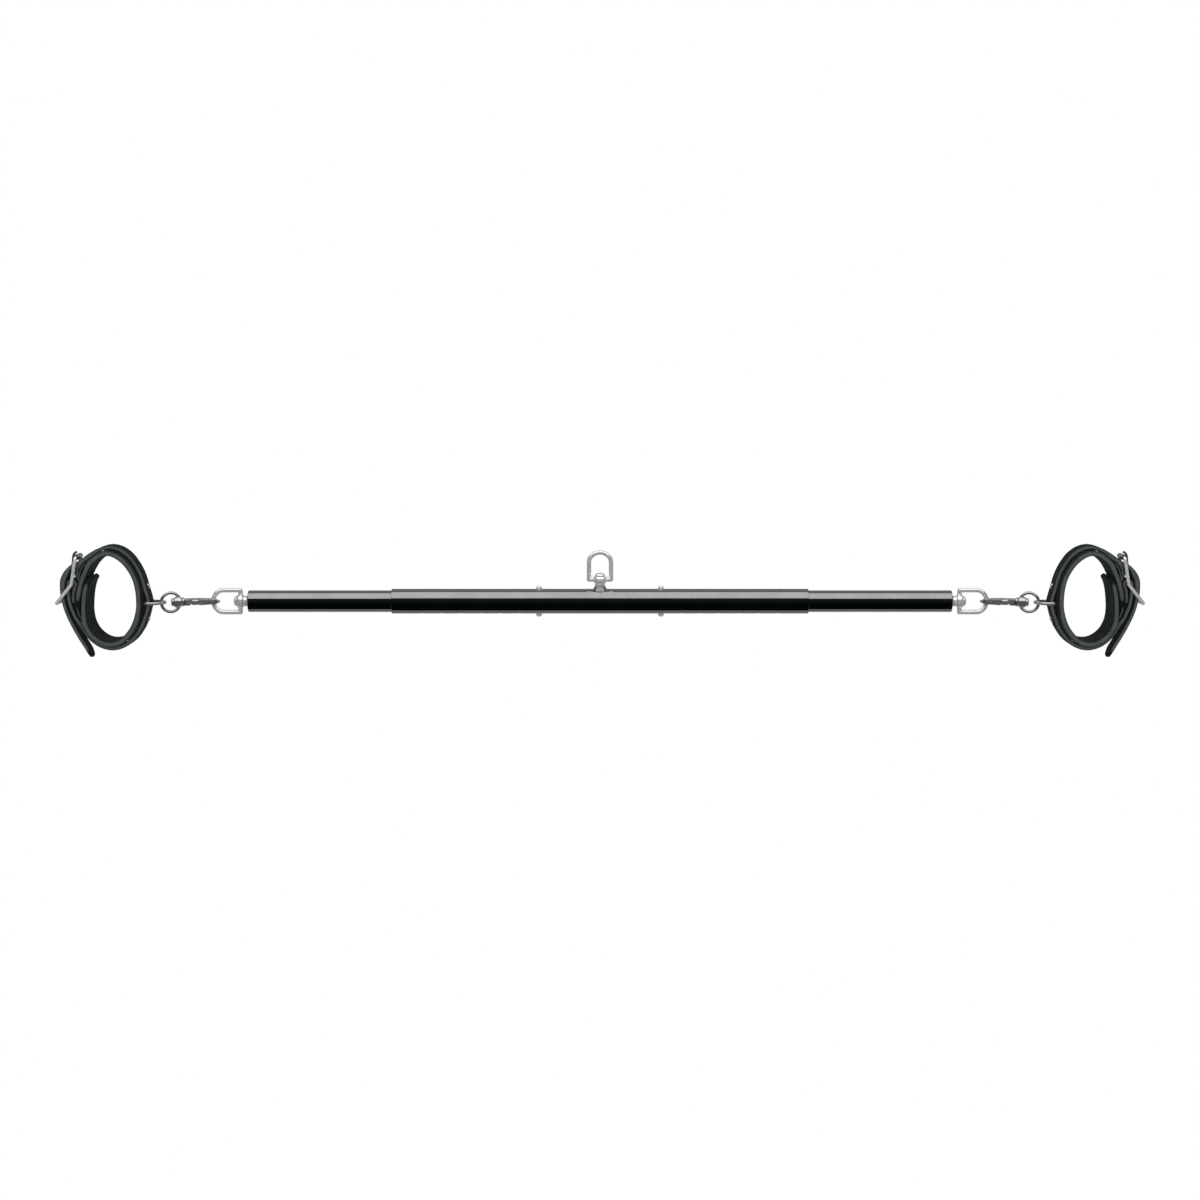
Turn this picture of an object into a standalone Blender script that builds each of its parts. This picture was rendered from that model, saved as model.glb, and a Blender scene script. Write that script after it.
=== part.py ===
"""Telescopic spreader bar with two buckled cuffs.

The bar lies on the floor (z = 0) along X.  A fixed outer tube carries a swivel
eye at its centre; an inner tube slides out of each end and is held by a pair of
sprung buttons.  Each inner tube ends in a swivel eye.  A snap hook with a
swivel ring joins that eye to the D-ring of a cuff, which stands on its rim.
All lengths below are in millimetres and are turned into metres by MM.
"""
import math

import bmesh
import bpy
from mathutils import Matrix, Vector

MM = 0.001

# ---------------------------------------------------------------- dimensions
TUBE_SIDES = 32
OUTER_R = 12.7            # 1 inch tube
OUTER_BORE_R = 11.45
OUTER_HALF = 213.5        # half length of the outer tube
AXIS_Z = OUTER_R * math.cos(math.pi / TUBE_SIDES)   # the bottom facet is on z = 0

INNER_R = 11.1            # 7/8 inch tube
INNER_BORE_R = 9.9
INNER_IN = 40.0           # inner end of the sliding tube
INNER_OUT = 360.6         # outer end of the sliding tube

BUTTON_X = 62.5           # first pair of button holes
HOLE_PITCH = 20.0
HOLE_PAIRS = 7
HOLE_R = 3.45
BUTTON_R = 3.0
BUTTON_TOP = 15.9         # crown height over the tube axis

EYE_WIRE = 2.3
EYE_HALF = 11.3           # half width of the eye's wire line
EYE_APEX = 30.4           # wire line apex, from the hub's back face
EYE_BASE = 2.7            # wire line of the flat side
HUB_LEN = 6.0
HUB_R = 7.5
HUB_BORE_R = 3.35
STUD_SHANK_R = 3.0
STUD_NECK_R = 5.35
STUD_HEAD_R = 5.25
END_HUB_X = 366.0         # back face of an end eye's hub
CENTRE_HUB_Y = 19.6       # back face of the centre eye's hub

HOOK_W0, HOOK_W1 = 2.2, 2.95   # half thickness at the claw and at the swivel
HOOK_CLAW_C = 2.35        # centre of the claw's arcs, from the eye's wire
HOOK_IN_R, HOOK_OUT_R = 5.0, 9.2
HOOK_NECK_U = 32.2
GATE_PIN = (27.5, 6.4)
GATE_PIN_R = 0.9

RING_C = 43.5             # centre of the swivel ring, from the eye's wire
RING_R = 9.7
RING_WIRE = 1.6
RIVET_R = 2.0

D_WIRE = 1.6
D_HALF = 14.6             # half width of the D-ring's wire line
D_Z = 26.0                # mid height of the cuffs
D_BAR = 462.6             # wire line of the D-ring's straight bar
D_ARC = 458.8             # centre of the D-ring's round end

BAND_T, BAND_W = 5.0, 52.0
STRAP_T, STRAP_W = 3.6, 25.0
STRAP_Z0 = D_Z - STRAP_W / 2

ROLLER = (532.0, 47.0)
MIDBAR = (536.5, 19.5)
LOWBAR = (552.0, 0.2)
BUCKLE_WIRE = 1.7
BUCKLE_HALF = 15.7        # side bars, from the cuff's mid height
ROLLER_R = 2.9
PRONG_R = 1.2
PRONG_LOOP = 3.3

EYE_X = END_HUB_X + EYE_APEX                      # the end eye's wire
CHAIN = RING_C + RING_R - RING_WIRE - D_WIRE - 0.35
SLOPE = math.asin((D_Z - AXIS_Z) / CHAIN)         # the hook climbs to the cuff

# Cuff, seen along its axis: (distance from the bar's centre, height)
BAND_LINE = [(514.0, 28.5), (518.6, 22.0), (521.3, 13.0), (522.7, 1.0),
             (522.9, -10.0), (521.0, -20.0), (517.0, -28.6), (511.4, -34.6),
             (504.8, -38.6), (497.8, -40.2), (489.8, -39.2), (483.6, -36.0),
             (478.4, -30.8), (473.6, -24.0), (469.8, -15.0), (467.6, -6.0),
             (467.1, 0.0), (467.2, 7.0), (468.2, 16.0), (470.8, 26.3),
             (475.6, 35.6), (482.0, 43.6), (489.5, 49.2), (496.4, 51.8),
             (503.2, 50.8), (509.8, 46.8), (516.6, 39.8), (521.8, 30.5),
             (525.4, 20.4), (527.4, 11.9), (528.7, 3.5), (529.6, -5.0)]
STRAP_IN = [(534.8, -0.5), (535.4, 4.0), (535.2, 9.0), (534.2, 14.0)]
STRAP_LOOP_R = 4.0
STRAP_OUT = [(540.7, 15.5), (540.3, 9.0), (539.6, 2.2), (537.3, -6.3),
             (533.6, -14.8), (528.5, -23.2), (522.5, -31.7), (515.8, -38.9),
             (507.0, -44.2), (496.2, -46.4), (485.3, -43.8), (475.1, -36.8),
             (467.2, -26.0), (463.0, -16.5), (460.4, -7.0), (458.9, 0.0),
             (460.2, 7.0), (462.8, 16.5), (465.4, 25.8), (469.8, 36.0),
             (477.4, 47.4), (486.6, 54.6), (497.0, 57.4), (507.4, 55.2),
             (517.4, 49.9), (526.0, 43.7), (531.8, 40.3), (537.8, 37.0),
             (543.8, 30.6), (547.1, 23.4), (547.5, 15.7), (546.7, 8.1),
             (544.6, -2.1), (541.2, -12.2), (535.2, -25.0), (528.5, -36.8),
             (522.5, -46.6), (518.0, -56.0)]
# Strap rivets either side of the D-ring: point on the strap, axis, back washer
RIVETS = (("upper", (462.8, 16.5), (0.964, -0.267), 8.9),
          ("lower", (463.0, -16.5), (0.940, 0.342), 10.3))


# ------------------------------------------------------------------ helpers
def clear():
    for ob in list(bpy.data.objects):
        bpy.data.objects.remove(ob, do_unlink=True)


def material(name, colour, rough, metal):
    mat = bpy.data.materials.new(name)
    mat.use_nodes = True
    shader = mat.node_tree.nodes["Principled BSDF"]
    shader.inputs["Base Color"].default_value = (*colour, 1.0)
    shader.inputs["Roughness"].default_value = rough
    shader.inputs["Metallic"].default_value = metal
    mat.diffuse_color = (*colour, 1.0)
    return mat


def frame_of(side):
    """Turns (distance from centre, y, z) into the row's x, y, z."""
    return lambda p: Vector((side * p[0], p[1], p[2])) * MM


def empty(name, location, tilt=0.0):
    ob = bpy.data.objects.new(name, None)
    bpy.context.scene.collection.objects.link(ob)
    ob.location = location
    ob.rotation_euler = (0.0, tilt, 0.0)
    return ob


def add(name, bm, mat, origin=(0.0, 0.0, 0.0), parent=None, cutter=False):
    """Makes an object of bm (metres), with its own origin at origin."""
    bmesh.ops.remove_doubles(bm, verts=bm.verts, dist=1e-7)
    bmesh.ops.recalc_face_normals(bm, faces=bm.faces)
    bmesh.ops.translate(bm, verts=bm.verts, vec=-Vector(origin))
    me = bpy.data.meshes.new(name)
    bm.to_mesh(me)
    bm.free()
    me.shade_smooth()
    me.set_sharp_from_angle(angle=math.radians(35))
    ob = bpy.data.objects.new(name, me)
    bpy.context.scene.collection.objects.link(ob)
    ob.location = origin
    if parent:
        ob.parent = parent
    if mat:
        me.materials.append(mat)
    if cutter:
        ob.hide_render = True
        ob.display_type = "WIRE"
    return ob


def boolean(ob, other, operation):
    mod = ob.modifiers.new(operation.lower() + "_" + other.name, "BOOLEAN")
    mod.operation = operation
    mod.object = other
    mod.solver = "EXACT"


def merge(*parts):
    """Joins several bmeshes into one, for cutters."""
    out = bmesh.new()
    for bm in parts:
        me = bpy.data.meshes.new("tmp")
        bm.to_mesh(me)
        bm.free()
        out.from_mesh(me)
        bpy.data.meshes.remove(me)
    return out


def axis_basis(axis):
    a = Vector(axis).normalized()
    b = Vector((0.0, 0.0, 1.0)) if abs(a.z) < 0.9 else Vector((0.0, 1.0, 0.0))
    b = (b - a * b.dot(a)).normalized()
    return a, b, a.cross(b)


def lathe(profile, centre, axis, sides, turn=0.5, hollow=False):
    """Turns (along, radius) pairs in mm about an axis through centre (mm)."""
    a, b, c = axis_basis(axis)
    o = Vector(centre)
    bm = bmesh.new()
    rings = []
    for t, r in profile:
        if r <= 1e-9:
            rings.append([bm.verts.new((o + a * t) * MM)])
            continue
        ring = []
        for k in range(sides):
            w = 2 * math.pi * (k + turn) / sides
            ring.append(bm.verts.new((o + a * t + (b * math.cos(w) + c * math.sin(w)) * r) * MM))
        rings.append(ring)
    pairs = list(zip(rings, rings[1:]))
    if hollow:
        pairs.append((rings[-1], rings[0]))
    for lo, hi in pairs:
        if len(lo) == 1 and len(hi) == 1:
            continue
        for k in range(sides):
            n = (k + 1) % sides
            if len(lo) == 1:
                bm.faces.new((lo[0], hi[n], hi[k]))
            elif len(hi) == 1:
                bm.faces.new((lo[k], lo[n], hi[0]))
            else:
                bm.faces.new((lo[k], lo[n], hi[n], hi[k]))
    return bm


def rod(centre, axis, t0, t1, r, sides):
    return lathe([(t0, 0), (t0, r), (t1, r), (t1, 0)], centre, axis, sides)


def sweep(points, section, closed):
    """Carries a section (list of (normal, binormal) mm offsets) along a path in mm."""
    pts = [Vector(p) for p in points]
    n = len(pts)
    tang = []
    for i in range(n):
        if closed:
            d = (pts[(i + 1) % n] - pts[i]).normalized() + (pts[i] - pts[i - 1]).normalized()
        else:
            d = Vector((0, 0, 0))
            if i + 1 < n:
                d += (pts[i + 1] - pts[i]).normalized()
            if i > 0:
                d += (pts[i] - pts[i - 1]).normalized()
        tang.append(d.normalized())
    first = axis_basis(tang[0])[1]
    normals = [first]
    for i in range(1, n):
        v = normals[-1] - tang[i] * normals[-1].dot(tang[i])
        normals.append(v.normalized())
    twist = 0.0
    if closed:
        v = (normals[-1] - tang[0] * normals[-1].dot(tang[0])).normalized()
        twist = math.atan2(tang[0].dot(v.cross(first)), v.dot(first))
    bm = bmesh.new()
    rings = []
    for i in range(n):
        m = normals[i]
        m = Matrix.Rotation(twist * i / n, 3, tang[i]) @ m
        b = tang[i].cross(m)
        rings.append([bm.verts.new((pts[i] + m * p + b * q) * MM) for p, q in section])
    k = len(section)
    for i in range(n if closed else n - 1):
        lo, hi = rings[i], rings[(i + 1) % n]
        for j in range(k):
            e = (j + 1) % k
            bm.faces.new((lo[j], lo[e], hi[e], hi[j]))
    if not closed:
        bm.faces.new(list(reversed(rings[0])))
        bm.faces.new(rings[-1])
    return bm


def circle(r, sides):
    return [(r * math.cos(2 * math.pi * (k + 0.5) / sides),
             r * math.sin(2 * math.pi * (k + 0.5) / sides)) for k in range(sides)]


def arc(cx, cy, rx, ry, a0, a1, steps):
    """Points from angle a0 to a1 (degrees) on an ellipse."""
    out = []
    for k in range(steps + 1):
        w = math.radians(a0 + (a1 - a0) * k / steps)
        out.append((cx + rx * math.cos(w), cy + ry * math.sin(w)))
    return out


def smooth_line(points, step):
    """Even points, step mm apart, on a Catmull-Rom curve through points."""
    pts = [Vector((p[0], p[1])) for p in points]
    pts = [2 * pts[0] - pts[1]] + pts + [2 * pts[-1] - pts[-2]]
    fine = []
    for i in range(1, len(pts) - 2):
        p0, p1, p2, p3 = pts[i - 1:i + 3]
        for k in range(12):
            t = k / 12
            fine.append(0.5 * ((2 * p1) + (p2 - p0) * t + (2 * p0 - 5 * p1 + 4 * p2 - p3) * t * t
                               + (3 * p1 - p0 - 3 * p2 + p3) * t ** 3))
    fine.append(pts[-2])
    run = [0.0]
    for p, q in zip(fine, fine[1:]):
        run.append(run[-1] + (q - p).length)
    count = max(2, round(run[-1] / step))
    out, j = [], 0
    for k in range(count + 1):
        want = run[-1] * k / count
        while j < len(run) - 2 and run[j + 1] < want:
            j += 1
        f = (want - run[j]) / max(run[j + 1] - run[j], 1e-9)
        out.append(fine[j].lerp(fine[j + 1], min(1.0, max(0.0, f))))
    return out


def ribbon(line, thick, z0, z1, side, chamfer=0.0):
    """A strip of leather standing on edge, its thickness across the line."""
    h = thick / 2
    if chamfer:
        c = chamfer
        sec = [(-h, z0 + c), (-h + c, z0), (h - c, z0), (h, z0 + c),
               (h, z1 - c), (h - c, z1), (-h + c, z1), (-h, z1 - c)]
    else:
        sec = [(-h, z0), (h, z0), (h, z1), (-h, z1)]
    n = len(line)
    bm = bmesh.new()
    rings = []
    for i, p in enumerate(line):
        a = line[max(0, i - 1)]
        b = line[min(n - 1, i + 1)]
        t = (b - a).normalized()
        nor = Vector((-t.y, t.x))
        rings.append([bm.verts.new(Vector((side * (p.x + nor.x * o), p.y + nor.y * o, z)) * MM)
                      for o, z in sec])
    k = len(sec)
    for lo, hi in zip(rings, rings[1:]):
        for j in range(k):
            e = (j + 1) % k
            bm.faces.new((lo[j], lo[e], hi[e], hi[j]))
    bm.faces.new(list(reversed(rings[0])))
    bm.faces.new(rings[-1])
    return bm


def box(x0, x1, y0, y1, z0, z1):
    bm = bmesh.new()
    bmesh.ops.create_cube(bm, size=1.0)
    for v in bm.verts:
        v.co = Vector(((x0 + x1) / 2 + v.co.x * (x1 - x0),
                       (y0 + y1) / 2 + v.co.y * (y1 - y0),
                       (z0 + z1) / 2 + v.co.z * (z1 - z0))) * MM
    return bm


def plate(outline, half, side):
    """A flat part in the X-Z plane; half(u) gives its half thickness along Y."""
    bm = bmesh.new()
    near = [bm.verts.new(Vector((side * u, -half(u), v)) * MM) for u, v in outline]
    far = [bm.verts.new(Vector((side * u, half(u), v)) * MM) for u, v in outline]
    bm.faces.new(near)
    bm.faces.new(list(reversed(far)))
    n = len(outline)
    for k in range(n):
        e = (k + 1) % n
        bm.faces.new((near[k], far[k], far[e], near[e]))
    return bm


# ------------------------------------------------------------------- parts
def eye_line():
    """The eye's wire line: (along the stud, across)."""
    flat = EYE_BASE
    c = 2.6
    top = 20.2
    pts = [(flat, 0.0)]
    pts += arc(flat + c, EYE_HALF - c, c, c, 180, 90, 3)
    pts += arc(top, 0.0, EYE_APEX - top, EYE_HALF, 90, -90, 14)
    pts += arc(flat + c, -EYE_HALF + c, c, c, -90, -180, 3)
    return pts


def eye(name, mats, place, direction, across, origin):
    """A forged D-shaped swivel eye with its hub and bore."""
    o, d, x = Vector(place), Vector(direction), Vector(across)
    ring = add(name, sweep([o + d * t + x * w for t, w in eye_line()], circle(EYE_WIRE, 8), True),
               mats, origin)
    hub = add(name + "_hub", lathe([(0, 0), (0, HUB_R - 0.8), (0.8, HUB_R), (2.6, HUB_R),
                                    (HUB_LEN, 6.2), (HUB_LEN, 0)], o, d, 16), None, cutter=True)
    bore = add(name + "_bore", rod(o, d, -4, 12, HUB_BORE_R, 16), None, cutter=True)
    boolean(ring, hub, "UNION")
    boolean(ring, bore, "DIFFERENCE")
    return ring


def stud(name, mat, place, direction, spigot):
    """A riveted stud: neck, shank through the hub, domed head. place is the hub's back face."""
    neck0 = -5.4 if spigot else -4.0
    prof = [(-16, 0), (-16, STUD_SHANK_R), (neck0, STUD_SHANK_R)] if spigot else [(neck0, 0)]
    prof += [(neck0, STUD_NECK_R), (-0.7, STUD_NECK_R), (-0.3, STUD_NECK_R - 0.4),
             (-0.3, STUD_SHANK_R), (HUB_LEN + 0.3, STUD_SHANK_R), (HUB_LEN + 0.3, STUD_HEAD_R - 0.3),
             (HUB_LEN + 0.7, STUD_HEAD_R), (HUB_LEN + 1.6, STUD_HEAD_R - 0.5),
             (HUB_LEN + 2.8, 3.5), (HUB_LEN + 3.5, 1.5), (HUB_LEN + 3.6, 0)]
    return add(name, lathe(prof, place, direction, 16), mat)


def main():
    clear()
    tube = material("tube_dark_polished", (0.10, 0.10, 0.11), 0.12, 1.0)
    bright = material("bright_plate", (0.80, 0.80, 0.80), 0.10, 1.0)
    dark = material("dark_nickel", (0.30, 0.29, 0.28), 0.22, 1.0)
    steel = material("spring_steel", (0.35, 0.35, 0.37), 0.35, 1.0)
    plug = material("plug_plastic", (0.02, 0.02, 0.02), 0.5, 0.0)
    leather = material("cuff_leather", (0.016, 0.020, 0.020), 0.45, 0.0)

    # Outer tube with its button holes through the +Y and -Y walls
    h, ro, ri = OUTER_HALF, OUTER_R, OUTER_BORE_R
    outer = add("outer_tube", lathe([(-h, ri), (-h, ro - 0.5), (-h + 0.5, ro), (h - 0.5, ro),
                                     (h, ro - 0.5), (h, ri)], (0, 0, AXIS_Z), (1, 0, 0),
                                    TUBE_SIDES, hollow=True), tube)
    drills = []
    for side in (-1, 1):
        for k in range(HOLE_PAIRS):
            x = side * (BUTTON_X + HOLE_PITCH * k)
            drills.append(rod((x, 0, AXIS_Z), (0, 1, 0), -20, 20, HOLE_R, 10))
    boolean(outer, add("outer_drills", merge(*drills), None, cutter=True), "DIFFERENCE")

    # Centre swivel eye on its saddle
    saddle = add("centre_saddle", lathe([(9.0, 0), (9.0, 8.4), (11.0, 8.0), (13.4, 6.6),
                                         (15.3, 5.7), (15.3, 0)], (0, 0, AXIS_Z), (0, 1, 0), 20),
                 bright)
    seat = add("saddle_seat", rod((0, 0, AXIS_Z), (1, 0, 0), -30, 30, OUTER_R + 0.3, TUBE_SIDES),
               None, cutter=True)
    boolean(saddle, seat, "DIFFERENCE")
    hub0 = (0, CENTRE_HUB_Y, AXIS_Z)
    stud("centre_stud", bright, hub0, (0, 1, 0), False)
    eye("centre_eye", bright, hub0, (0, 1, 0), (1, 0, 0), Vector(hub0) * MM)

    for side, tag in ((-1, "left"), (1, "right")):
        at = frame_of(side)
        axis = (side, 0, 0)

        # Sliding tube, plug and swivel eye
        a, b, ro, ri = INNER_IN, INNER_OUT, INNER_R, INNER_BORE_R
        inner = add("inner_tube_" + tag,
                    lathe([(a, ri), (a, ro), (b - 0.7, ro), (b, ro - 0.7), (b, ri)],
                          (0, 0, AXIS_Z), axis, TUBE_SIDES, hollow=True), tube)
        drill = add("inner_drill_" + tag,
                    rod((side * BUTTON_X, 0, AXIS_Z), (0, 1, 0), -20, 20, HOLE_R, 10), None,
                    cutter=True)
        boolean(inner, drill, "DIFFERENCE")
        add("end_plug_" + tag, lathe([(345, 3.4), (345, 9.5), (360.3, 9.5), (360.3, 3.4)],
                                     (0, 0, AXIS_Z), axis, 16, hollow=True), plug)
        hub = (side * END_HUB_X, 0, AXIS_Z)
        stud("end_stud_" + tag, bright, hub, axis, True)
        eye("end_eye_" + tag, bright, hub, axis, (0, 1, 0), Vector(hub) * MM)

        # Sprung buttons and the V-shaped leaf behind them
        for up, word in ((1, "upper"), (-1, "lower")):
            prof = [(7.6, 0), (7.6, 4.2), (8.6, 4.2), (8.6, BUTTON_R), (14.4, BUTTON_R),
                    (15.4, 2.2), (BUTTON_TOP, 0)]
            add("button_%s_%s" % (word, tag),
                lathe(prof, (side * BUTTON_X, 0, AXIS_Z), (0, up, 0), 12), bright,
                at((BUTTON_X, 0, AXIS_Z)))
        leaf = [Vector(p) for p in ((BUTTON_X - 3, 7.0), (BUTTON_X + 4, 6.8), (BUTTON_X + 20, 4.4),
                                    (BUTTON_X + 31, 2.4), (BUTTON_X + 34, 0.0),
                                    (BUTTON_X + 31, -2.4), (BUTTON_X + 20, -4.4),
                                    (BUTTON_X + 4, -6.8), (BUTTON_X - 3, -7.0))]
        add("spring_clip_" + tag, ribbon(leaf, 0.6, AXIS_Z - 3, AXIS_Z + 3, side), steel)

        # Snap hook, drawn in its own frame at the eye's wire
        hook = empty("hook_frame_" + tag, at((EYE_X, 0, AXIS_Z)), -side * SLOPE)

        def half(u):
            return HOOK_W0 + (HOOK_W1 - HOOK_W0) * min(1.0, max(0.0, (u + 2.0) / 16.0))

        c = HOOK_CLAW_C
        outline = [(HOOK_NECK_U, -4.2), (30.5, -4.7), (28.5, -6.4), (25.5, -8.5), (22.0, -HOOK_OUT_R)]
        outline += arc(c, 0, HOOK_OUT_R, HOOK_OUT_R, -90, -270, 12)
        outline += [(16.2, 9.0), (13.8, HOOK_IN_R)]
        outline += arc(c, 0, HOOK_IN_R, HOOK_IN_R, 90, 270, 8)
        outline += arc(22.5, -1.0, 4.0, 4.0, -90, 0, 3)
        outline += [(26.5, 1.8)]
        outline += arc(GATE_PIN[0], GATE_PIN[1], 3.6, 3.6, 250, 90, 7)
        outline += [(29.6, 9.3), (31.4, 6.6), (HOOK_NECK_U, 4.4)]
        body = add("snap_hook_" + tag, plate(outline, half, side), dark, parent=hook)
        flange = add("hook_flange_" + tag, rod((0, 0, 0), axis, 30.0, HOOK_NECK_U, 4.6, 12), None,
                     parent=hook, cutter=True)
        boolean(body, flange, "UNION")
        cut = add("hook_slot_" + tag, box(side * 22.0, side * 30.9, -1.8, 1.8, 1.4, 12.0), None,
                  parent=hook, cutter=True)
        pin_hole = add("pin_hole_" + tag,
                       rod((side * GATE_PIN[0], 0, GATE_PIN[1]), (0, 1, 0), -6, 6,
                           GATE_PIN_R + 0.35, 8), None, parent=hook, cutter=True)
        boolean(body, cut, "DIFFERENCE")
        boolean(body, pin_hole, "DIFFERENCE")

        pin = Vector((side * GATE_PIN[0], 0, GATE_PIN[1])) * MM
        gate_line = [(16.55, 9.0), (22.7, 9.0)]
        gate_line += arc(GATE_PIN[0], GATE_PIN[1], 2.6, 2.6, 90, -90, 6)
        gate_line += [(24.0, 4.2), (22.7, 4.7), (14.2, 5.0)]
        gate = add("snap_gate_" + tag, plate(gate_line, lambda u: 2.75, side), dark, pin, hook)
        notches = [box(side * 22.7, side * 32, 1.45, 5, 0, 14),
                   box(side * 22.7, side * 32, -5, -1.45, 0, 14)]
        boolean(gate, pin_hole, "DIFFERENCE")
        boolean(gate, add("gate_cuts_" + tag, merge(*notches), None, parent=hook, cutter=True),
                "DIFFERENCE")
        add("gate_pin_" + tag, rod((side * GATE_PIN[0], 0, GATE_PIN[1]), (0, 1, 0), -2.9, 2.9,
                                   GATE_PIN_R, 8), steel, parent=hook)
        leaf = [(30.4, 3.4), (30.4, 2.9), (28.6, 2.1), (26.9, 1.75), (26.9, 2.15), (28.5, 2.5)]
        add("gate_spring_" + tag, plate(leaf, lambda u: 1.3, side), steel, parent=hook)

        # Swivel rivet and ring
        add("swivel_rivet_" + tag,
            lathe([(32.5, 0), (32.5, RIVET_R), (40.8, RIVET_R), (40.8, 4.0), (42.4, 4.0),
                   (43.0, 3.2), (43.2, 0)], (0, 0, 0), axis, 12), dark, parent=hook)
        ring_pts = [(side * (RING_C + x), y, 0) for x, y in arc(0, 0, RING_R, RING_R, 0, 345, 23)]
        ring = add("swivel_ring_" + tag, sweep(ring_pts, circle(RING_WIRE, 8), True), dark,
                   Vector((side * RING_C, 0, 0)) * MM, hook)
        rhub = add("ring_hub_" + tag,
                   lathe([(32.5, 0), (32.5, 4.6), (34.0, 5.8), (37.0, 5.8), (40.5, 4.7), (40.5, 0)],
                         (0, 0, 0), axis, 12), None, parent=hook, cutter=True)
        rbore = add("ring_bore_" + tag, rod((0, 0, 0), axis, 28, 45, RIVET_R + 0.4, 12), None,
                    parent=hook, cutter=True)
        boolean(ring, rhub, "UNION")
        boolean(ring, rbore, "DIFFERENCE")

        # D-ring, standing upright in the strap
        c = 2.2
        line = arc(D_ARC, 0, D_HALF, D_HALF, 90, 270, 14)
        line += arc(D_BAR - c, -D_HALF + c, c, c, -90, 0, 3)
        line += arc(D_BAR - c, D_HALF - c, c, c, 0, 90, 3)
        add("d_ring_" + tag, sweep([(side * x, 0, D_Z + z) for x, z in line],
                                   circle(D_WIRE, 8), True), dark,
            at((EYE_X + (RING_C + RING_R) * math.cos(SLOPE), 0,
                AXIS_Z + (RING_C + RING_R) * math.sin(SLOPE))))

        # Cuff: wide band, strap, rivets and buckle
        hinge = at((D_BAR, 0, D_Z))
        band = smooth_line(BAND_LINE, 6.2)
        add("cuff_band_" + tag, ribbon(band, BAND_T, 0, BAND_W, side, 1.3), leather, hinge)
        loop = arc(MIDBAR[0], MIDBAR[1], STRAP_LOOP_R, STRAP_LOOP_R, 180, 0, 5)
        line = STRAP_IN + loop + STRAP_OUT
        line = smooth_line(STRAP_IN + [loop[0]], 5.0)[:-1] + [Vector(p) for p in loop] \
            + smooth_line([loop[-1]] + STRAP_OUT, 6.0)[1:]
        strap = add("strap_" + tag, ribbon(line, STRAP_T, STRAP_Z0, STRAP_Z0 + STRAP_W, side),
                    leather, hinge)
        slots = [box(side * 530.0, side * 543.4, 13.4, 27.0, D_Z - 1.8, D_Z + 1.8),
                 box(side * 535.6, side * 541.6, 30.0, 42.0, D_Z - 1.8, D_Z + 1.8)]
        slots.append(rod((side * 537.6, 7.0, D_Z), (1, 0, 0), -4.6, 4.6, 1.6, 8))
        boolean(strap, add("strap_cuts_" + tag, merge(*slots), None, cutter=True), "DIFFERENCE")
        holes = []
        for word, (x, y), (nx, ny), back in RIVETS:
            spot, aim = (side * x, y, D_Z), (side * nx, ny, 0)
            holes.append(rod(spot, aim, -6, 14, 1.6, 8))
            prof = [(-3.5, 0), (-3.3, 1.6), (-2.5, 3.0), (-2.2, 3.0), (-2.2, 1.2), (back, 1.2),
                    (back, 3.0), (back + 0.7, 3.0), (back + 0.7, 0)]
            add("strap_rivet_%s_%s" % (word, tag), lathe(prof, spot, aim, 8), bright)
        holes = add("rivet_holes_" + tag, merge(*holes), None, cutter=True)
        boolean(strap, holes, "DIFFERENCE")
        boolean(bpy.data.objects["cuff_band_" + tag], holes, "DIFFERENCE")
        prof = [(532.5, 0), (532.5, 2.6), (533.1, 2.6), (533.1, 1.2), (542.2, 1.2), (542.2, 2.6),
                (542.9, 2.2), (543.1, 0)]
        add("buckle_rivet_" + tag, lathe(prof, (0, 7.0, D_Z), axis, 8), bright)

        def corner(p, q, r, cut, steps=2):
            """Rounds the corner at q between p and r."""
            p, q, r = Vector(p), Vector(q), Vector(r)
            a = q + (p - q).normalized() * cut
            b = q + (r - q).normalized() * cut
            return [(a.lerp(q, t)).lerp(q.lerp(b, t), t) for t in (k / steps for k in range(steps + 1))]

        z0, z1 = D_Z - BUCKLE_HALF, D_Z + BUCKLE_HALF
        ring6 = [(*ROLLER, z0), (*ROLLER, z1), (*MIDBAR, z1), (*LOWBAR, z1), (*LOWBAR, z0),
                 (*MIDBAR, z0)]
        path = []
        for k, q in enumerate(ring6):
            cut = 2.4 if k not in (2, 5) else 2.0
            path += corner(ring6[k - 1], q, ring6[(k + 1) % 6], cut)
        frame = add("buckle_frame_" + tag,
                    sweep([(side * p.x, p.y, p.z) for p in path], circle(BUCKLE_WIRE, 8), True),
                    dark, hinge)
        bar = add("buckle_midbar_" + tag, rod((side * MIDBAR[0], MIDBAR[1], D_Z), (0, 0, 1),
                                              -BUCKLE_HALF, BUCKLE_HALF, BUCKLE_WIRE, 8),
                  None, cutter=True)
        boolean(frame, bar, "UNION")
        add("buckle_roller_" + tag,
            lathe([(-12.3, BUCKLE_WIRE + 0.4), (-12.3, ROLLER_R), (12.3, ROLLER_R),
                   (12.3, BUCKLE_WIRE + 0.4)], (side * ROLLER[0], ROLLER[1], D_Z), (0, 0, 1), 12,
                  hollow=True), dark, at((*ROLLER, D_Z)))
        mx, my = MIDBAR
        prong = [(533.2, 51.9), (535.2, 50.6), (536.6, 48.0), (537.2, 43.0), (538.4, 32.0),
                 (539.5, 23.0)]
        prong += arc(mx, my, PRONG_LOOP, PRONG_LOOP, 10, -250, 10)
        add("buckle_prong_" + tag,
            sweep([(side * x, y, D_Z) for x, y in prong], circle(PRONG_R, 6), False), dark,
            at((*MIDBAR, D_Z)))


main()
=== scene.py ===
"""Looks for the telescopic spreader bar with two buckled cuffs."""
import math

import bmesh
import bpy
from mathutils import Matrix, Vector


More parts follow.
